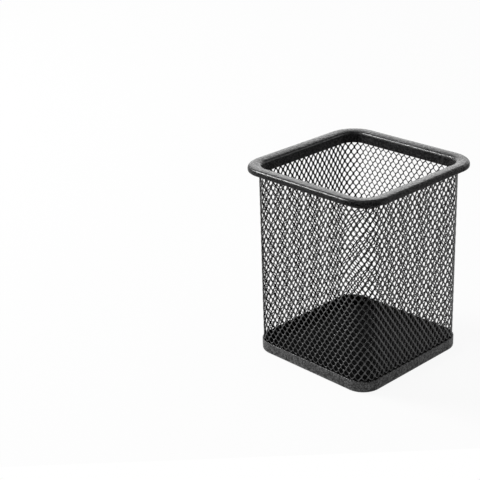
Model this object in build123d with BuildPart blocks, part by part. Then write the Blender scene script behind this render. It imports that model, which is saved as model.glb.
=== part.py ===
import os
from math import cos, hypot, pi

from build123d import *

# Square pencil cup of expanded steel sheet. One strip of mesh, bent into a sleeve, stands in a pressed pan,
# and a pressed rim frame caps its top edge. Millimetres, +Z up, origin in the middle of the pan's underside.

# Overall sizes
cup_height = 100.0
sleeve_width = 73.4  # outside of the mesh, from wall to wall
sleeve_corner = 9.4  # radius outside the mesh at its four bends
fit_clearance = 0.1  # between the mesh and the sheet that holds it

# Mesh sleeve. A step is half a diamond, from one column of knuckles to the next.
mesh_sheet = 0.5
strand_width = 1.5
wall_steps = 14
bend_steps = 4
diamond_rows = 7

# Rim frame: a collar inside the mesh, a flat flange over it and a lip turned down outside
rim_sheet = 0.6
rim_bend = 1.0
collar_depth = 6.0
flange_overhang = 5.5  # from the outside of the mesh to the outside of the lip
lip_depth = 2.2

# Base pan: a solid floor with a band turned up outside the mesh
pan_sheet = 0.6
pan_bend = 1.0
pan_depth = 6.0

# The mesh stands on the pan's floor and carries the flange on its top edge.
mesh_height = cup_height - pan_sheet - rim_sheet

half_sleeve = sleeve_width / 2
wall_flat = sleeve_width - 2 * sleeve_corner

# The mesh bends at its knuckles and its strands stay straight, so a bend is a few narrow flats inside its arc.
bend_sag = sleeve_corner * (1 - cos(pi / 4 / bend_steps))

# A gap is the lattice's diamond, drawn in by half a strand on each side.
step_width = wall_flat / wall_steps
step_height = mesh_height / diamond_rows / 2
lattice_reach = step_width * step_height / hypot(step_width, step_height)
gap_share = 1 - strand_width / 2 / lattice_reach
gap_half_width = step_width * gap_share
gap_half_height = step_height * gap_share


def bend_points(quarter):
    # Columns of knuckles on the outside of one bend, from the end of one wall to the start of the next
    centre = Vector(wall_flat / 2, wall_flat / 2)
    points = []
    for step in range(bend_steps + 1):
        outward = Vector(sleeve_corner, 0).rotate(Axis.Z, 90 * step / bend_steps)
        points.append((centre + outward).rotate(Axis.Z, 90 * quarter))
    return points


def wall_points(quarter):
    # Columns of knuckles on the outside of one wall, between its two bends
    points = []
    for step in range(1, wall_steps):
        along = step * step_width - wall_flat / 2
        points.append(Vector(half_sleeve, along).rotate(Axis.Z, 90 * quarter))
    return points


outline = []
columns = []
for quarter in range(4):
    outline += bend_points(quarter)
    columns += wall_points(quarter) + bend_points(quarter)

# Every second place in the lattice is a gap, which faces square to the line between its neighbours.
gap_planes = []
for index, column in enumerate(columns):
    along = columns[(index + 1) % len(columns)] - columns[index - 1]
    for row in range(1 + index % 2, 2 * diamond_rows, 2):
        centre = column + Vector(0, 0, pan_sheet + row * step_height)
        gap_planes.append(Plane(centre, x_dir=along, z_dir=along.cross(Vector(0, 0, 1))))

with BuildPart() as gap_cutter:
    with BuildSketch():
        Polygon(
            (gap_half_width, 0),
            (0, gap_half_height),
            (-gap_half_width, 0),
            (0, -gap_half_height),
        )
    extrude(amount=sleeve_corner / 2, both=True)

# The strip is kept as four walls and eight half bends, which meet face to face at the bends' ends and middles.
with BuildPart() as mesh_sleeve:
    with BuildSketch(Plane.XY.offset(pan_sheet)):
        Polygon(*outline, align=None)
        offset(amount=-mesh_sheet, kind=Kind.INTERSECTION, mode=Mode.SUBTRACT)
    extrude(amount=mesh_height)
    with Locations(*gap_planes):
        add(gap_cutter.part, mode=Mode.SUBTRACT)
    for bend_end in (-wall_flat / 2, wall_flat / 2):
        split(bisect_by=Plane.YZ.offset(bend_end), keep=Keep.BOTH)
        split(bisect_by=Plane.XZ.offset(bend_end), keep=Keep.BOTH)
    for bend_middle in (-45, 45):
        split(bisect_by=Plane.XZ.rotated((0, 0, bend_middle)), keep=Keep.BOTH)

mesh_sleeve.part.label = "mesh_sleeve"

# The rim frame's section is carried round half of the sleeve's outline. The other half is its mirror image.
collar_inside = half_sleeve - mesh_sheet - bend_sag - fit_clearance - rim_sheet
lip_outside = half_sleeve + flange_overhang

with BuildPart() as rim_frame:
    with BuildLine() as rim_path:
        FilletPolyline(
            (half_sleeve, 0),
            (half_sleeve, half_sleeve),
            (-half_sleeve, half_sleeve),
            (-half_sleeve, 0),
            radius=sleeve_corner,
        )
    with BuildSketch(Plane.XZ) as rim_section:
        with BuildLine():
            Polyline(
                (collar_inside, cup_height - collar_depth),
                (collar_inside, cup_height),
                (lip_outside, cup_height),
                (lip_outside, cup_height - lip_depth),
                (lip_outside - rim_sheet, cup_height - lip_depth),
                (lip_outside - rim_sheet, cup_height - rim_sheet),
                (collar_inside + rim_sheet, cup_height - rim_sheet),
                (collar_inside + rim_sheet, cup_height - collar_depth),
                close=True,
            )
        make_face()
        fillet(rim_section.vertices().group_by(Axis.Y)[-1], radius=rim_bend)
    sweep(path=rim_path.line)
    mirror(about=Plane.XZ)

rim_frame.part.label = "rim_frame"

pan_width = sleeve_width + 2 * (fit_clearance + pan_sheet)
pan_corner = sleeve_corner + fit_clearance + pan_sheet

with BuildPart() as base_pan:
    with BuildSketch():
        RectangleRounded(pan_width, pan_width, pan_corner)
    extrude(amount=pan_depth)
    fillet(base_pan.faces().sort_by(Axis.Z)[0].edges(), radius=pan_bend)
    with BuildSketch(Plane.XY.offset(pan_sheet)):
        RectangleRounded(pan_width, pan_width, pan_corner)
        offset(amount=-pan_sheet, mode=Mode.REPLACE)
    extrude(amount=pan_depth, mode=Mode.SUBTRACT)

base_pan.part.label = "base_pan"

os.makedirs("parts", exist_ok=True)
export_step(mesh_sleeve.part, "parts/mesh_sleeve.step")
export_step(rim_frame.part, "parts/rim_frame.step")
export_step(base_pan.part, "parts/base_pan.step")
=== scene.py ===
import math

import bpy
import numpy as np
from mathutils import Matrix, Vector


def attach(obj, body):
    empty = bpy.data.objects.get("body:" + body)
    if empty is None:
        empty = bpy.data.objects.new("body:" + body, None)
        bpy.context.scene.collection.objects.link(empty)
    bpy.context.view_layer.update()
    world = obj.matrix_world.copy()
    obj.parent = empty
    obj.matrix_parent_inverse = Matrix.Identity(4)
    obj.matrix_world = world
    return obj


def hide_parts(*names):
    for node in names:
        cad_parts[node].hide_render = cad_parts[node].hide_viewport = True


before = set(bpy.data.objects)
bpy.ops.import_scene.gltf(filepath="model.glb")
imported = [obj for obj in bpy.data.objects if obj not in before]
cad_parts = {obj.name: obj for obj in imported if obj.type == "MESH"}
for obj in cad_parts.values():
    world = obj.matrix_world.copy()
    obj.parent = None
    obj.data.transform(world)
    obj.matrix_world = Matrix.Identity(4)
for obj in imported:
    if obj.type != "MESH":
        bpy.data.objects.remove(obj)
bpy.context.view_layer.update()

scene = bpy.context.scene
scene.view_settings.view_transform = "Standard"
mm = 0.001
print("frame loaded, nodes:", sorted(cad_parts))

# every piece follows the same rounded square, sizes in mm
cup = {
    "halfWidth": 36.7,  # middle of the cup to the outside of the mesh
    "corner": 9.4,  # radius of the bends there
}
cupInner = cup["halfWidth"] - cup["corner"]
wallLength = 2 * cupInner
bendLength = cup["corner"] * math.pi / 2
quarterLength = wallLength + bendLength
aroundLength = quarterLength * 4


def walkSquare(run, out):
    # Rounded square. run is the length walked along the outline: each quarter is a straight wall at the
    # half width and then a quarter circle about the corner's centre. out pushes the point along the outward
    # normal.
    quarter, rest = np.divmod(run, quarterLength)
    angle = np.maximum(rest - wallLength, 0.0) / cup["corner"]
    reach = cup["corner"] + out
    x = cupInner + reach * np.cos(angle)
    y = np.minimum(rest, wallLength) - cupInner + reach * np.sin(angle)
    turn = quarter * math.pi / 2
    return x * np.cos(turn) - y * np.sin(turn), x * np.sin(turn) + y * np.cos(turn)


def squareStations(wallCuts, bendCuts):
    # Walked lengths of the stations round the outline: even steps on each wall and in each bend.
    onWall = np.arange(wallCuts) * wallLength / wallCuts
    onBend = wallLength + np.arange(bendCuts) * bendLength / bendCuts
    quarters = np.arange(4)[:, None] * quarterLength
    return (quarters + np.concatenate([onWall, onBend])).ravel()


def carryRound(section, stations):
    # A section carried round the outline: its first number is the distance out from the mesh, its second
    # the height.
    x, y = walkSquare(stations[None, :], section[:, :1])
    z = np.broadcast_to(section[:, 1:2], x.shape)
    return np.stack([x, y, z], axis=-1).reshape(-1, 3)


def arcPoints(centre, radius, fromDegrees, toDegrees, cuts):
    # Points on a circle's arc, both ends included.
    angle = np.radians(np.linspace(fromDegrees, toDegrees, cuts + 1))
    return np.array(centre) + radius * np.stack([np.cos(angle), np.sin(angle)], axis=1)


def gridQuads(rows, columns, closeRows):
    # Four-sided faces of a grid whose columns close on themselves, and whose rows may close too.
    row = np.arange(rows if closeRows else rows - 1)[:, None]
    column = np.arange(columns)[None, :]
    nextRow, nextColumn = (row + 1) % rows, (column + 1) % columns
    corners = [row * columns + column, row * columns + nextColumn]
    corners += [nextRow * columns + nextColumn, nextRow * columns + column]
    return np.stack(corners, axis=-1).reshape(-1, 4)


def putMesh(name, points, quads, triangles, exposed, paintedShade, coats):
    # Arrays into a mesh: points in mm, faces as rows of point numbers, exposure as a point attribute. A
    # face that has more than half of its points marked for painted shade takes the second, duller coat.
    mesh = bpy.data.meshes.new(name)
    mesh.vertices.add(len(points))
    mesh.vertices.foreach_set("co", (points * mm).astype(np.float32).ravel())
    corners = np.concatenate([quads.ravel(), triangles.ravel()])
    starts = np.concatenate([np.arange(len(quads)) * 4, quads.size + np.arange(len(triangles)) * 3])
    mesh.loops.add(len(corners))
    mesh.loops.foreach_set("vertex_index", corners.astype(np.int32))
    mesh.polygons.add(len(starts))
    mesh.polygons.foreach_set("loop_start", starts.astype(np.int32))
    mesh.polygons.foreach_set("use_smooth", np.ones(len(starts), dtype=bool))
    # painted shade: marked faces take the duller copy of the coat, whose weaker reflections stand in for
    # shade
    second = np.concatenate([paintedShade[quads].mean(axis=1), paintedShade[triangles].mean(axis=1)]) > 0.5
    mesh.polygons.foreach_set("material_index", second.astype(np.int32))
    mask = mesh.attributes.new("exposed", "FLOAT", "POINT")
    mask.data.foreach_set("value", exposed.astype(np.float32))
    mesh.update(calc_edges=True)
    for coat in coats:
        mesh.materials.append(coat)
    piece = bpy.data.objects.new(name, mesh)
    scene.collection.objects.link(piece)
    print(name, "has", len(points), "points and", 2 * len(quads) + len(triangles), "triangles")
    return piece


def addNode(tree, kind, settings, inputs):
    # One node: settings are its own options, and an input is either a plain value or another node's output.
    node = tree.nodes.new(kind)
    for key, value in settings.items():
        setattr(node, key, value)
    for key, value in inputs.items():
        if isinstance(value, bpy.types.NodeSocket):
            tree.links.new(value, node.inputs[key])
        else:
            node.inputs[key].default_value = value
    return node


def mathNode(tree, operation, *values):
    # One sum, as an output: the values go into the node in their order.
    return addNode(tree, "ShaderNodeMath", {"operation": operation}, dict(enumerate(values))).outputs[0]


def mapRange(tree, value, source, result, blend="LINEAR"):
    # The value carried from its source range onto the result's range, and held at both ends.
    ranges = {"From Min": source[0], "From Max": source[1], "To Min": result[0], "To Max": result[1]}
    node = addNode(tree, "ShaderNodeMapRange", {"interpolation_type": blend}, {"Value": value, **ranges})
    return node.outputs["Result"]


def mixColours(tree, share, first, second):
    # Two colours mixed by a share. Inputs 6 and 7 and output 2 are the node's sockets for colours.
    node = addNode(tree, "ShaderNodeMix", {"data_type": "RGBA"}, {0: share, 6: first, 7: second})
    return node.outputs[2]


def newGroup(name, inputs, outputs):
    # Empty shader group with named sockets.
    group = bpy.data.node_groups.new(name, "ShaderNodeTree")
    for label, kind in inputs.items():
        group.interface.new_socket(label, in_out="INPUT", socket_type=kind)
    for label in outputs:
        group.interface.new_socket(label, in_out="OUTPUT", socket_type="NodeSocketFloat")
    return group, group.nodes.new("NodeGroupInput").outputs, group.nodes.new("NodeGroupOutput").inputs


# what the coats of all three pieces share
powder = {
    "grainShare": 0.6,  # height of the grains against that of the orange peel
    "speckFrom": (0.42, 0.62),  # values of the grain between which a speck starts and is full
    "driftScale": 45.0,
    "driftFrom": (0.25, 0.75),  # values of the drift that give the least and the most roughness
    "patchScale": 320.0,
    "patchFrom": (0.4, 0.7),  # values of the patches between which rubbing starts and is full
    "rubSmooth": 0.1,  # how much smoother a rubbed edge is
    "glintIor": 1.7,
}


def makeCoatGrain(look):
    # Powder coat: fine grains over a slower orange peel, and a slow drift over the whole piece.
    inputs = {
        "Place": "NodeSocketVector",
        "Grain Scale": "NodeSocketFloat",
        "Peel Scale": "NodeSocketFloat",
    }
    group, given, result = newGroup("coatGrain", inputs, ["Height", "Speck", "Drift"])
    place = given["Place"]
    grain = addNode(group, "ShaderNodeTexNoise", {},
                    {"Vector": place, "Scale": given["Grain Scale"], "Detail": 2.0, "Roughness": 0.6})
    peel = addNode(group, "ShaderNodeTexNoise", {},
                   {"Vector": place, "Scale": given["Peel Scale"], "Detail": 1.0, "Roughness": 0.5})
    drift = addNode(group, "ShaderNodeTexNoise", {},
                    {"Vector": place, "Scale": look["driftScale"], "Detail": 3.0, "Roughness": 0.55})
    height = mathNode(group, "MULTIPLY_ADD", grain.outputs["Fac"], look["grainShare"], peel.outputs["Fac"])
    speck = mapRange(group, grain.outputs["Fac"], look["speckFrom"], (0, 1))
    group.links.new(height, result["Height"])
    group.links.new(speck, result["Speck"])
    group.links.new(drift.outputs["Fac"], result["Drift"])
    return group


def makeEdgeRub(look):
    # Rubbed edges: how exposed the form is, broken up into patches, gives a mask of worn coat.
    inputs = {"Place": "NodeSocketVector", "Exposed": "NodeSocketFloat", "Amount": "NodeSocketFloat"}
    group, given, result = newGroup("edgeRub", inputs, ["Rub"])
    place = given["Place"]
    patch = addNode(group, "ShaderNodeTexNoise", {},
                    {"Vector": place, "Scale": look["patchScale"], "Detail": 4.0, "Roughness": 0.65})
    broken = mapRange(group, patch.outputs["Fac"], look["patchFrom"], (0, 1))
    raised = mathNode(group, "MULTIPLY", broken, given["Exposed"])
    rub = addNode(group, "ShaderNodeMath", {"operation": "MULTIPLY", "use_clamp": True},
                  {0: raised, 1: given["Amount"]})
    group.links.new(rub.outputs[0], result["Rub"])
    return group


coatGrain = makeCoatGrain(powder)
edgeRub = makeEdgeRub(powder)


def satinBlack(name, coat, gloss, glint):
    # Satin black powder coat: grain and peel in the bump, dusty and shiny specks, drifting shine and
    # rubbed edges.
    material = bpy.data.materials.new(name)
    material.use_nodes = True
    tree = material.node_tree
    shader = tree.nodes["Principled BSDF"]
    place = tree.nodes.new("ShaderNodeTexCoord").outputs["Object"]
    bare = addNode(tree, "ShaderNodeAttribute", {"attribute_name": "exposed"}, {})
    grain = addNode(tree, "ShaderNodeGroup", {"node_tree": coatGrain},
                    {"Place": place, "Grain Scale": coat["grainScale"], "Peel Scale": coat["peelScale"]})
    rub = addNode(tree, "ShaderNodeGroup", {"node_tree": edgeRub},
                  {"Place": place, "Exposed": bare.outputs["Fac"], "Amount": coat["rub"]})
    speck, height = grain.outputs["Speck"], grain.outputs["Height"]
    dusty = mixColours(tree, speck, coat["dark"], coat["dusty"])
    worn = mixColours(tree, rub.outputs["Rub"], dusty, coat["worn"])
    shine = mapRange(tree, grain.outputs["Drift"], powder["driftFrom"], coat["shine"])
    sparkle = mathNode(tree, "MULTIPLY_ADD", speck, -coat["sparkle"], shine)
    smoother = mathNode(tree, "MULTIPLY_ADD", rub.outputs["Rub"], -powder["rubSmooth"], sparkle)
    bump = addNode(tree, "ShaderNodeBump", {},
                   {"Height": height, "Strength": coat["bump"], "Distance": coat["bumpDepth"]})
    tree.links.new(worn, shader.inputs["Base Color"])
    tree.links.new(smoother, shader.inputs["Roughness"])
    tree.links.new(bump.outputs["Normal"], shader.inputs["Normal"])
    tree.links.new(mapRange(tree, speck, (0, 1), (0, glint)), shader.inputs["Coat Weight"])
    shader.inputs["Coat Roughness"].default_value = coat["glintRoughness"]
    shader.inputs["Coat IOR"].default_value = powder["glintIor"]
    shader.inputs["Specular IOR Level"].default_value = gloss
    return material


def coatPair(name, coat):
    # The same coat twice: for open faces and, duller, as painted shade for the faces marked for it.
    # the Inside copy is painted shade: its weaker reflections stand in for shade in hollows, under the rim
    # and on the lip
    faces = zip(("Outside", "Inside"), coat["gloss"], coat["glint"])
    return [satinBlack(name + place, coat, gloss, glint) for place, gloss, glint in faces]


# expanded mesh sleeve
sleeve = {
    "foot": 0.85,  # just above the pan's floor
    "top": 98.6,  # just under the flange
    "columns": 82,  # diamonds round the cup
    "rows": 20,  # diamonds from foot to top
    "sheet": 0.5,
    "knuckleReach": 0.36,  # half the length of a knuckle
    "knuckleHalf": 0.55,  # half its width
    "strandHalf": 0.36,  # half a strand's width where it leaves a knuckle
    "bow": 0.07,  # how much thinner a strand gets towards its middle
    "edgeShare": 0.15,  # share of the sheet that is left at a gap's edge, so that strands look rounded
    "twist": 0.25,  # how far a strand's left edge is turned in and its right edge out
    "lean": -0.038,  # sideways shift of the columns for each mm of height
    "waver": 0.05,  # how far the pressing lets the lattice wander
    "waverWaves": (3, 17),  # waves round the cup, of the sideways and of the upright wander
    "waverClimb": (0.13, 0.05),  # radians by which each moves on for a mm of height
    "waverSwing": 2,  # radians by which the sideways one moves on and back round the cup
    "waverFade": 4,  # distance from the foot or the top at which the upright one is full
    "bareFaces": (0.5, 0.2),  # exposure of the strands outside and inside
    "bareEdges": (0.9, 0.6),  # and at the gaps
}
sleeveCoat = {
    "dark": (0.004, 0.004, 0.0043, 1),
    "dusty": (0.008, 0.008, 0.0083, 1),
    "worn": (0.05, 0.05, 0.05, 1),
    "grainScale": 2600.0,
    "peelScale": 900.0,
    "bump": 0.5,
    "bumpDepth": 0.0001,
    "shine": (0.18, 0.28),
    "rub": 0.25,
    "gloss": (0.9, 0.12),  # open faces, and the duller copy that is painted shade
    "glint": (0.5, 0.05),  # mirroring of the brightest grains, on the same faces
    "glintRoughness": 0.2,
    "sparkle": 0.1,  # how much smoother the brightest grains are
}


def meshLattice(form):
    # Expanded mesh, worked out flat as (walked length, height, depth). Sites lie on a half-diamond lattice:
    # where column plus row is even there is a knuckle, with an end above and one below it, and between
    # knuckles run straight strands. Where it is odd there is a gap: the hexagon of its six knuckle ends,
    # drawn in by half a knuckle or half a strand. A strand is full sheet along its middle line and thinner
    # at the gaps, and it is turned a little, in at a gap's right side and out at its left side. Every point
    # is then shifted sideways in proportion to its height, and wanders by two slow sines.
    columns, siteRows = form["columns"], 2 * form["rows"] + 1
    stepAlong = aroundLength / columns / 2
    stepUp = (form["top"] - form["foot"]) / (siteRows - 1)
    reach = form["knuckleReach"]
    siteRow, siteTurn = np.divmod(np.arange(siteRows * columns), columns)
    siteAlong = (2 * siteTurn + siteRow % 2) * stepAlong
    siteUp = form["foot"] + siteRow * stepUp
    below = np.stack([siteAlong, np.maximum(siteUp - reach, form["foot"])], axis=1)
    above = np.stack([siteAlong, np.minimum(siteUp + reach, form["top"])], axis=1)

    # middles of the two strands that leave each knuckle upwards
    strandFoot = above[: (siteRows - 1) * columns]
    halfStrand = np.array([stepAlong, stepUp - 2 * reach]) / 2
    toLeft = strandFoot + halfStrand * [-1, 1]
    toRight = strandFoot + halfStrand
    line = np.concatenate([below, above, toLeft, toRight])
    aboveFrom, leftFrom = len(below), len(below) + len(above)
    rightFrom = leftFrom + len(toLeft)

    def site(column, row):
        return row * columns + np.floor_divide(column, 2) % columns

    # the ten points of the middle lines round each gap
    gapRow, gapTurn = np.divmod(np.arange((siteRows - 2) * columns), columns)
    gapRow = gapRow + 1
    gapColumn = 2 * gapTurn + (gapRow + 1) % 2
    right, left = site(gapColumn + 1, gapRow), site(gapColumn - 1, gapRow)
    over, under = site(gapColumn, gapRow + 1), site(gapColumn, gapRow - 1)
    ring = [right, aboveFrom + right, leftFrom + right, over, rightFrom + left]
    ring += [aboveFrom + left, left, leftFrom + under, aboveFrom + under, rightFrom + under]
    ring = np.stack(ring, axis=1)

    # the ten points of its edge
    slope = math.hypot(stepAlong, stepUp - 2 * reach)
    drawIn = form["strandHalf"] * slope / stepAlong
    side = stepAlong - form["knuckleHalf"]
    sideTop = reach + (stepUp - 2 * reach) * form["knuckleHalf"] / stepAlong - drawIn
    tip = stepUp - reach - drawIn
    bowAlong = form["bow"] * (stepUp - 2 * reach) / slope
    bowUp = form["bow"] * stepAlong / slope
    middle = [side / 2 + bowAlong, (sideTop + tip) / 2 + bowUp]
    upper = np.array([[side, -sideTop], [side, sideTop], middle, [0, tip], [-middle[0], middle[1]]])
    gapLoop = np.concatenate([upper, -upper])
    gapCentre = np.stack([gapColumn * stepAlong, form["foot"] + gapRow * stepUp], axis=1)
    gaps = (gapCentre[:, None, :] + gapLoop[None, :, :]).reshape(-1, 2)

    # outer and inner layer of the lines, then of the edges
    layers = [len(line), len(line), len(gaps), len(gaps)]
    flat = np.concatenate([line, line, gaps, gaps])
    half = form["sheet"] / 2
    thin = half * form["edgeShare"]
    depth = np.repeat([half, -half, thin, -thin], layers)
    turned = np.tile(-form["twist"] * gapLoop[:, 0] / side, len(gapCentre))
    depth[2 * len(line):] += np.concatenate([turned, turned])
    exposed = np.repeat(form["bareFaces"] + form["bareEdges"], layers)
    # painted shade: the inner layers of the lines and edges take the duller coat
    paintedShade = np.repeat([0, 1, 0, 1], layers)

    wander = 2 * math.pi / aroundLength
    waves, climb = form["waverWaves"], form["waverClimb"]
    swing = np.sin(flat[:, 0] * wander * waves[0]) * form["waverSwing"]
    swayAlong = np.sin(flat[:, 1] * climb[0] + swing)
    swayUp = np.sin(flat[:, 0] * wander * waves[1] + flat[:, 1] * climb[1])
    fromEnd = np.minimum(flat[:, 1] - form["foot"], form["top"] - flat[:, 1])
    fade = fromEnd.clip(0, form["waverFade"]) / form["waverFade"]
    along = flat[:, 0] + form["waver"] * swayAlong + form["lean"] * (flat[:, 1] - form["foot"])
    up = flat[:, 1] + form["waver"] * swayUp * fade

    # faces from the lines to the edges in front and behind, and through the gaps
    loop = len(gapLoop)
    gapFront = 2 * len(line) + np.arange(len(gaps)).reshape(-1, loop)
    gapBack = gapFront + len(gaps)
    back = ring + len(line)
    ahead = np.roll(np.arange(loop), -1)
    front = np.stack([ring, ring[:, ahead], gapFront[:, ahead], gapFront], axis=-1)
    through = np.stack([gapFront, gapFront[:, ahead], gapBack[:, ahead], gapBack], axis=-1)
    rear = np.stack([back[:, ahead], back, gapBack, gapBack[:, ahead]], axis=-1)

    # half diamonds along the foot and the top are left closed
    edgeColumn = 2 * np.arange(columns) + 1
    footLeft, footRight = site(edgeColumn - 1, 0), site(edgeColumn + 1, 0)
    peak = site(edgeColumn, 1)
    footLow = [footLeft, footRight, aboveFrom + footRight, aboveFrom + footLeft]
    footHigh = [aboveFrom + footLeft, aboveFrom + footRight, leftFrom + footRight, rightFrom + footLeft]
    footTips = np.stack([rightFrom + footLeft, leftFrom + footRight, peak], axis=1)
    last = siteRows - 1
    topLeft, topRight = site(edgeColumn - 1, last), site(edgeColumn + 1, last)
    dip = site(edgeColumn, last - 1)
    topHigh = [topLeft, topRight, aboveFrom + topRight, aboveFrom + topLeft]
    topLow = [leftFrom + dip, rightFrom + dip, topRight, topLeft]
    topTips = np.stack([aboveFrom + dip, rightFrom + dip, leftFrom + dip], axis=1)
    selvage = np.concatenate([np.stack(sides, axis=1) for sides in (footLow, footHigh, topHigh, topLow)])
    tips = np.concatenate([footTips, topTips])
    footEdge = np.stack([footRight, footLeft, footLeft + len(line), footRight + len(line)], axis=1)
    topEdge = aboveFrom + np.stack([topLeft, topRight, topRight + len(line), topLeft + len(line)], axis=1)

    quads = [front.reshape(-1, 4), through.reshape(-1, 4), rear.reshape(-1, 4), selvage]
    quads += [selvage[:, ::-1] + len(line), footEdge, topEdge]
    triangles = np.concatenate([tips, tips[:, ::-1] + len(line)])
    x, y = walkSquare(along, depth - half)
    return np.stack([x, y, up], axis=1), np.concatenate(quads), triangles, exposed, paintedShade


meshSleeve = putMesh("meshSleeve", *meshLattice(sleeve), coatPair("meshCoat", sleeveCoat))
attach(meshSleeve, "root")
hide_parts("mesh_sleeve")


# pressed rim frame, distances out from the mesh and heights
rim = {
    "top": 100.0,
    "sheet": 0.6,
    "collarOut": -1.081,  # middle of the collar's sheet
    "collarFoot": 94.0,
    "collarRings": (0.0, 0.03, 0.5, 0.97),  # shares of the way up the collar
    "lipOut": 5.2,  # middle of the lip's sheet
    "foldRadius": 1.1,  # bends are measured in the middle of the sheet
    "crownIn": 13.0,  # degrees that the flange leans at the fold
    "crownOut": 4.0,  # and where the lip starts
    "lipRadius": 1.5,
    "lipDrop": 0.5,  # upright part of the lip
    "hemRadius": 0.25,  # the lower edge is turned under
    "hemTail": 0.5,
    "arcCuts": 8,
    "capCuts": 5,
    "wallCuts": 40,
    "bendCuts": 24,
    "bareArcs": (1, 0, 0.8, 0.6),  # exposure of the fold, the crown, the lip and the hem at their middles
    "bareLeast": 0.3,  # share of it that is left at their ends
    "bareEnds": 0.6,  # exposure of the collar's foot and the hem's tail
    "bareCaps": 0.7,  # and of the cut edges round them
    "bareUnder": 0.4,  # share of the exposure that the underside has
    "foldPaintedShade": 4,  # how fast the collar's painted shade ends in the fold, as a power
}
rimCoat = {
    "dark": (0.005, 0.005, 0.0053, 1),
    "dusty": (0.05, 0.05, 0.051, 1),
    "worn": (0.07, 0.07, 0.07, 1),
    "grainScale": 1350.0,
    "peelScale": 550.0,
    "bump": 0.8,
    "bumpDepth": 0.0003,
    "shine": (0.26, 0.36),
    "rub": 0.35,
    # open faces, and the duller copy that is painted shade
    "gloss": (0.36, 0.07),
    "glint": (0.6, 0.1),
    "glintRoughness": 0.25,
    "sparkle": 0.14,
}


def foldedSheet(line, heading, sheet, capCuts):
    # Section of a folded sheet: its middle line moved half the sheet to each side along its normal, and
    # closed by a half circle round each end. heading is the line's direction at each point.
    normal = np.stack([-np.sin(heading), np.cos(heading)], axis=1)
    half = sheet / 2
    swing = np.linspace(math.pi / 2, -math.pi / 2, capCuts + 2)[1:-1]
    turn = heading[-1] + swing
    endCap = line[-1] + half * np.stack([np.cos(turn), np.sin(turn)], axis=1)
    turn = heading[0] + math.pi + swing
    startCap = line[0] + half * np.stack([np.cos(turn), np.sin(turn)], axis=1)
    return np.concatenate([line + half * normal, endCap, (line - half * normal)[::-1], startCap])


def rimLine(form):
    # Middle line of the rim's sheet, walked as a chain of arcs that meet in line: up the collar, a fold
    # outwards, a shallow crown, the lip's round bend down and a hem turned under. Along an arc the line
    # moves by the radius times the change in the sine and the cosine of its heading. The crown's radius is
    # whatever fits between the bends. Exposure swells like a sine along each arc.
    half, cuts = form["sheet"] / 2, form["arcCuts"]
    headings = [90, form["crownIn"], -form["crownOut"], -90, -180]
    chain = np.radians(np.stack([headings[:-1], headings[1:]], axis=1))
    radii = np.array([form["foldRadius"], 0, form["lipRadius"], form["hemRadius"]])
    across = np.sin(chain[:, 0]) - np.sin(chain[:, 1])
    width = form["lipOut"] - form["collarOut"]
    radii[1] = (width - radii[[0, 2]] @ across[[0, 2]]) / across[1]
    heading = chain[:, :1] + np.linspace(0, 1, cuts + 1) * (chain[:, 1:] - chain[:, :1])
    moves = [np.sin(heading[:, :1]) - np.sin(heading), np.cos(heading) - np.cos(heading[:, :1])]
    arcs = np.stack(moves, axis=-1) * radii[:, None, None]
    ends = np.cumsum(arcs[:, -1], axis=0)
    arcs[1:] += ends[:-1, None]
    arcs[3:, :, 1] -= form["lipDrop"]  # the hem hangs lower by the upright part
    arcs[:, :, 0] += form["collarOut"]
    arcs[:, :, 1] += form["top"] - half - arcs[:, :, 1].max()
    rise = np.array(form["collarRings"])[:, None]
    foot = np.array([form["collarOut"], form["collarFoot"] + half])
    collar = foot + rise * (arcs[0, 0] - foot)
    tail = arcs[-1, -1] - [form["hemTail"], 0]
    keep = np.ones(heading.shape, dtype=bool)
    keep[1:3, 0] = False  # where one arc ends on the next one's start
    line = np.concatenate([collar, arcs[keep], [tail]])
    heading = np.concatenate([np.full(len(collar), math.pi / 2), heading[keep], [-math.pi]])
    swell = np.sin(np.linspace(0, math.pi, cuts + 1)) * (1 - form["bareLeast"]) + form["bareLeast"]
    bare = np.outer(form["bareArcs"], swell)
    plain = np.zeros(len(collar) - 1)
    exposed = np.concatenate([[form["bareEnds"]], plain, bare[keep], [form["bareEnds"]]])
    # painted shade: the collar, the start of the fold, the lip from half way round its bend and the hem
    # take the duller coat
    paintedShadeArcs = np.zeros(keep.shape)
    paintedShadeArcs[0] = np.linspace(1, 0, cuts + 1) ** form["foldPaintedShade"]
    paintedShadeArcs[2, cuts // 2:] = 1  # painted shade on the lip from half way round its bend, and on the hem
    paintedShadeArcs[3] = 1
    paintedShade = np.concatenate([np.ones(len(collar)), paintedShadeArcs[keep], [1]])
    return line, heading, exposed, paintedShade


def rimSurface(form):
    # The folded section carried round the rounded square. Its underside takes painted shade.
    line, heading, lineExposed, linePaintedShade = rimLine(form)
    section = foldedSheet(line, heading, form["sheet"], form["capCuts"])
    cap = np.full(form["capCuts"], form["bareCaps"])
    exposed = np.concatenate([lineExposed, cap, lineExposed[::-1] * form["bareUnder"], cap])
    # painted shade on the underside and both cut edges
    paintedShade = np.concatenate([linePaintedShade, np.ones(len(section) - len(line))])
    stations = squareStations(form["wallCuts"], form["bendCuts"])
    points = carryRound(section, stations)
    quads = gridQuads(len(section), len(stations), True)[:, ::-1]
    masks = [np.repeat(values, len(stations)) for values in (exposed, paintedShade)]
    return points, quads, np.zeros((0, 3), dtype=int), *masks


rimFrame = putMesh("rimFrame", *rimSurface(rim), coatPair("rimCoat", rimCoat))
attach(rimFrame, "root")
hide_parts("rim_frame")


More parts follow.
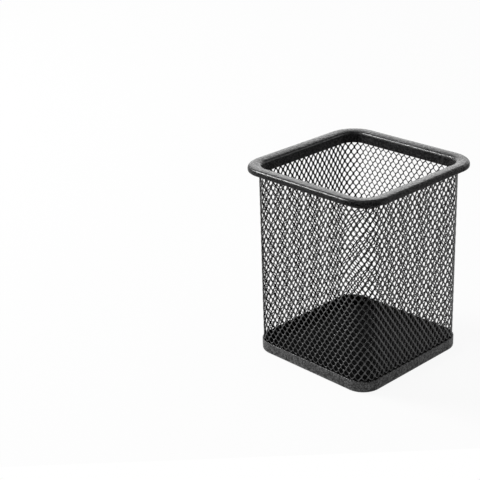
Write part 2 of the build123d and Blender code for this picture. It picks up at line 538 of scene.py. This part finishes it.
# pressed base pan
pan = {
    "floor": 0.6,  # top of the floor, and the sheet's thickness
    "insideOut": 0.1,  # inner face of the band, out from the mesh
    "bandTop": 6.0,
    "bend": 1.1,  # outside radius between floor and band
    "floorRings": (0.12, 0.3, 0.5, 0.7, 0.88, 0.985),  # shares of the way out from the middle
    "bandRings": (0.04, 0.5, 0.96),  # shares of the way along the band's faces
    "innerCuts": 6,
    "arcCuts": 8,  # of the band's edge and of the bend outside
    "wallCuts": 40,
    "bendCuts": 24,
    "bareInside": 0.1,  # exposure of the band's inner face
    "bareEdge": 0.7,
    "bareBend": 0.8,  # at most, in the middle of the bend
    "bareBendFrom": 0.3,  # radians of the sine with which the bend's exposure starts
    "bareUnder": 0.2,
}
panCoat = {
    "dark": (0.003, 0.003, 0.0031, 1),
    "dusty": (0.024, 0.024, 0.0245, 1),
    "worn": (0.07, 0.07, 0.07, 1),
    "grainScale": 1350.0,
    "peelScale": 550.0,
    "bump": 0.8,
    "bumpDepth": 0.0005,
    "shine": (0.44, 0.56),
    "rub": 0.35,
    # open faces, and the duller copy that is painted shade
    "gloss": (0.45, 0.0),
    "glint": (1.0, 0.02),
    "glintRoughness": 0.4,
    "sparkle": 0.2,
}


def panSurface(form):
    # Pan: rings from the middle of the floor out to the bend, up the band, over its rounded edge, down
    # outside, round the bend and back under the floor to the middle. Floor rings are the outline drawn in
    # towards the middle. The floor and the band's inner face take painted shade.
    sheet = form["floor"]
    bendIn = form["insideOut"] + sheet - form["bend"]
    inner = arcPoints((bendIn, form["bend"]), form["bend"] - sheet, -90, 0, form["innerCuts"])
    edgeMiddle = (form["insideOut"] + sheet / 2, form["bandTop"] - sheet / 2)
    edge = arcPoints(edgeMiddle, sheet / 2, 180, 0, form["arcCuts"])
    outer = arcPoints((bendIn, form["bend"]), form["bend"], 0, -90, form["arcCuts"])
    rise = np.array(form["bandRings"])[:, None]
    inside = inner[-1] + rise * (edge[0] - inner[-1])
    outside = edge[-1] + rise * (outer[0] - edge[-1])
    shares = np.array(form["floorRings"])
    floorRing = np.tile(inner[0], (len(shares), 1))
    underRing = np.tile(outer[-1], (len(shares), 1))
    section = np.concatenate([floorRing, inner, inside, edge, outside, outer, underRing])
    share = np.concatenate([shares, np.ones(len(section) - 2 * len(shares)), shares[::-1]])
    stations = squareStations(form["wallCuts"], form["bendCuts"])
    rings = carryRound(section, stations).reshape(len(section), len(stations), 3)
    rings[:, :, :2] *= share[:, None, None]
    middle = np.array([[0, 0, sheet], [0, 0, 0]])
    points = np.concatenate([rings.reshape(-1, 3), middle])

    quads = gridQuads(len(section), len(stations), False)[:, ::-1]
    ring = np.arange(len(stations))
    after = np.roll(ring, -1)
    top = np.stack([ring, after, np.full_like(ring, len(points) - 2)], axis=1)
    lowest = (len(section) - 1) * len(stations)
    bottom = np.stack([lowest + after, lowest + ring, np.full_like(ring, len(points) - 1)], axis=1)

    innerCount = len(inner) + len(inside)
    bend = form["bareBend"] * np.sin(np.linspace(form["bareBendFrom"], math.pi, len(outer)))
    bare = [np.zeros(len(shares)), np.full(innerCount, form["bareInside"])]
    bare += [np.full(len(edge), form["bareEdge"]), np.zeros(len(outside))]
    bare += [bend, np.full(len(shares), form["bareUnder"])]
    exposed = np.concatenate([np.repeat(np.concatenate(bare), len(stations)), [0, form["bareUnder"]]])
    # painted shade: the floor and the band's inner face take the duller coat
    paintedShadeCount = len(shares) + innerCount
    paintedShadeRings = np.concatenate([np.ones(paintedShadeCount), np.zeros(len(section) - paintedShadeCount)])
    paintedShade = np.concatenate([np.repeat(paintedShadeRings, len(stations)), [1, 0]])
    return points, quads, np.concatenate([top, bottom]), exposed, paintedShade


basePan = putMesh("basePan", *panSurface(pan), coatPair("panCoat", panCoat))
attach(basePan, "root")
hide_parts("base_pan")


# floor, light and camera, in metres
studio = {
    "floorSize": 6.0,
    "floorCuts": 8,
    "floorFront": 0.1,  # from the cup's middle to the floor's front edge
    "floorColour": (0.95, 0.95, 0.95, 1),
    "floorWhite": 0.92,  # how far the camera sees plain white instead of the lit floor
    "floorGlow": 0.3,  # the same in reflections, as a share
    "skyLight": 0.3,  # light that the white surroundings give
    "backdrop": (-0.736, 0.677, 0),  # towards the white screen behind the cup
    "frontTo": (-0.8, -0.1),  # where the dark room in front passes into the screen
    "front": 0.08,
    "ceilingFrom": (0.38, 0.65),  # heights between which the screen passes into the dark ceiling
    "ceiling": 0.08,
    "lampAim": (0, 0, 0.05),  # middle of the cup
    "lamps": {
        "keySoftbox": {"at": (-0.9, -0.4, 0.98), "size": 0.5, "watts": 13.0},
        "rearSoftbox": {"at": (-1.05, 0.97, 0.5), "size": 1.0, "watts": 2.0},
        "fillSoftbox": {"at": (0.9, 0.1, 0.7), "size": 0.7, "watts": 0.4},
    },
}


def whiteRays(tree, glow):
    # One for rays from the camera, a share for rays from a reflection or through glass, else zero.
    path = tree.nodes.new("ShaderNodeLightPath").outputs
    mirrored = mathNode(tree, "MAXIMUM", path["Is Glossy Ray"], path["Is Transmission Ray"])
    dimmed = mathNode(tree, "MULTIPLY", mirrored, glow)
    return mathNode(tree, "MAXIMUM", path["Is Camera Ray"], dimmed)


def makeFloor(look):
    # Flat grid under the cup: sideways it is as wide as the floor's size, and it runs back as far from an
    # edge just in front of the cup.
    cuts = look["floorCuts"]
    side, back = np.meshgrid(np.linspace(-0.5, 0.5, cuts + 1) * look["floorSize"],
                             np.linspace(0, 1, cuts + 1) * look["floorSize"] - look["floorFront"])
    away = look["backdrop"]
    x = back * away[0] + side * away[1]
    y = back * away[1] - side * away[0]
    points = np.stack([x, y, 0 * side], axis=-1).reshape(-1, 3)
    corner = (np.arange(cuts)[:, None] * (cuts + 1) + np.arange(cuts)).ravel()
    quads = np.stack([corner, corner + 1, corner + cuts + 2, corner + cuts + 1], axis=1)
    mesh = bpy.data.meshes.new("floorPlate")
    mesh.from_pydata(points.tolist(), [], quads.tolist())
    material = bpy.data.materials.new("paleFloor")
    material.use_nodes = True
    tree = material.node_tree
    tree.nodes.remove(tree.nodes["Principled BSDF"])
    matte = addNode(tree, "ShaderNodeBsdfDiffuse", {}, {"Color": look["floorColour"]})
    white = addNode(tree, "ShaderNodeEmission", {}, {"Color": (1, 1, 1, 1), "Strength": 1.0})
    share = mathNode(tree, "MULTIPLY", whiteRays(tree, look["floorGlow"]), look["floorWhite"])
    both = addNode(tree, "ShaderNodeMixShader", {}, {0: share, 1: matte.outputs[0], 2: white.outputs[0]})
    tree.links.new(both.outputs[0], tree.nodes["Material Output"].inputs["Surface"])
    mesh.materials.append(material)
    plate = bpy.data.objects.new("floorPlate", mesh)
    scene.collection.objects.link(plate)
    return plate


floor = makeFloor(studio)

# plain white for the camera, a white screen with a dark ceiling and front in reflections, else soft light
world = bpy.data.worlds.new("whiteStudio")
scene.world = world
world.use_nodes = True
sky = world.node_tree
sky.nodes.clear()
soft = addNode(sky, "ShaderNodeBackground", {}, {"Color": (1, 1, 1, 1), "Strength": studio["skyLight"]})
way = sky.nodes.new("ShaderNodeTexCoord").outputs["Generated"]
height = addNode(sky, "ShaderNodeSeparateXYZ", {}, {"Vector": way}).outputs["Z"]
low = mapRange(sky, height, studio["ceilingFrom"], (1, studio["ceiling"]), "SMOOTHSTEP")
facing = addNode(sky, "ShaderNodeVectorMath", {"operation": "DOT_PRODUCT"}, {0: way, 1: studio["backdrop"]})
behind = mapRange(sky, facing.outputs["Value"], studio["frontTo"], (studio["front"], 1), "SMOOTHSTEP")
screen = mathNode(sky, "MULTIPLY", low, behind)
seen = sky.nodes.new("ShaderNodeLightPath").outputs["Is Camera Ray"]
white = mathNode(sky, "MAXIMUM", screen, seen)
plain = addNode(sky, "ShaderNodeBackground", {}, {"Color": (1, 1, 1, 1), "Strength": white})
mixed = addNode(sky, "ShaderNodeMixShader", {},
                {0: whiteRays(sky, 1.0), 1: soft.outputs[0], 2: plain.outputs[0]})
addNode(sky, "ShaderNodeOutputWorld", {}, {"Surface": mixed.outputs[0]})

aim = Vector(studio["lampAim"])
for name, lamp in studio["lamps"].items():
    light = bpy.data.lights.new(name, "AREA")
    light.shape = "DISK"
    light.size = lamp["size"]
    light.energy = lamp["watts"]
    holder = bpy.data.objects.new(name, light)
    holder.location = lamp["at"]
    holder.visible_camera = False
    holder.rotation_mode = "QUATERNION"
    holder.rotation_quaternion = (aim - holder.location).to_track_quat("-Z", "Y")
    scene.collection.objects.link(holder)
print("floor and light set")

shot = {
    "at": (0.37049, -0.42245, 0.29827),  # metres
    "azimuth": 47.216,  # degrees round from the front
    "elevation": 22.986,
    "roll": -2.145,
    "lens": 92.076,  # mm, as the sensor
    "sensor": 36.0,
    "near": 0.01,  # metres
}
azimuth, elevation, roll = (math.radians(shot[key]) for key in ("azimuth", "elevation", "roll"))
backward = Vector((math.sin(azimuth) * math.cos(elevation), -math.cos(azimuth) * math.cos(elevation),
                   math.sin(elevation)))
level = Vector((0, 0, 1)).cross(backward).normalized()
upright = backward.cross(level)
across = math.cos(roll) * level + math.sin(roll) * upright
upward = math.cos(roll) * upright - math.sin(roll) * level
camera = bpy.data.objects.new("shotCamera", bpy.data.cameras.new("shotCamera"))
camera.data.sensor_fit = "HORIZONTAL"
camera.data.sensor_width = shot["sensor"]
camera.data.lens = shot["lens"]
camera.data.clip_start = shot["near"]
camera.rotation_mode = "QUATERNION"
camera.rotation_quaternion = Matrix((across, upward, backward)).transposed().to_quaternion()
camera.location = shot["at"]
scene.collection.objects.link(camera)
scene.camera = camera
bpy.context.view_layer.update()
print("camera set")
